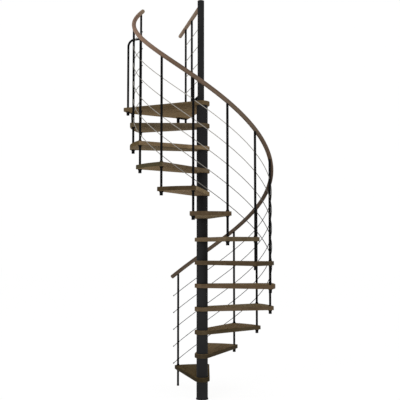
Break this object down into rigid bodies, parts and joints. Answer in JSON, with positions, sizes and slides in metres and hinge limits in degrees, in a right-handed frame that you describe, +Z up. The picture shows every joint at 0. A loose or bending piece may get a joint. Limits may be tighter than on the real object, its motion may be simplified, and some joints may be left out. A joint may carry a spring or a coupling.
{
  "type": "spiral staircase",
  "caption": "Spiral staircase with a central pole, wedge-shaped wooden treads, landing, round wooden handrail and cable-filled railing.",
  "frame": {"origin": "centre of the pole's base flange, on the floor", "axes": "+Z up along the pole, +X to the right and -Y towards the viewer of the picture"},
  "size_m": [1.4943, 1.6607, 3.8644],
  "materials": {
    "tread_wood": "oiled, matt",
    "landing_wood": "oiled, matt",
    "rail_wood": "satin",
    "pole_coating": "powder coated, satin",
    "baluster_coating": "powder coated, satin",
    "bracket_coating": "powder coated, matt",
    "cable_steel": "stranded stainless",
    "fitting_steel": "satin"
  },
  "bodies": {
    "root": {"baluster_collars": "baluster_coating", "baluster_nuts": "baluster_coating", "balusters": "baluster_coating", "base_flange": "pole_coating", "cable_stops": "fitting_steel", "corner_hoop": "baluster_coating", "first_baluster": "baluster_coating", "first_baluster_foot": "baluster_coating", "handrail_spiral": "rail_wood", "landing_balusters": "baluster_coating", "landing_bracket": "bracket_coating", "landing_cables": "cable_steel", "landing_handrail": "rail_wood", "landing_platform": "landing_wood", "landing_post": "pole_coating", "landing_studs": "bracket_coating", "pole_core": "pole_coating", "pole_spacers": "pole_coating", "post_cap": "pole_coating", "post_gusset": "pole_coating", "railing_cable_1": "cable_steel", "railing_cable_2": "cable_steel", "railing_cable_3": "cable_steel", "railing_cable_4": "cable_steel", "railing_cable_5": "cable_steel", "tread_01": "tread_wood", "tread_02": "tread_wood", "tread_03": "tread_wood", "tread_04": "tread_wood", "tread_05": "tread_wood", "tread_06": "tread_wood", "tread_07": "tread_wood", "tread_08": "tread_wood", "tread_09": "tread_wood", "tread_10": "tread_wood", "tread_11": "tread_wood", "tread_12": "tread_wood"}
  },
  "joints": []
}
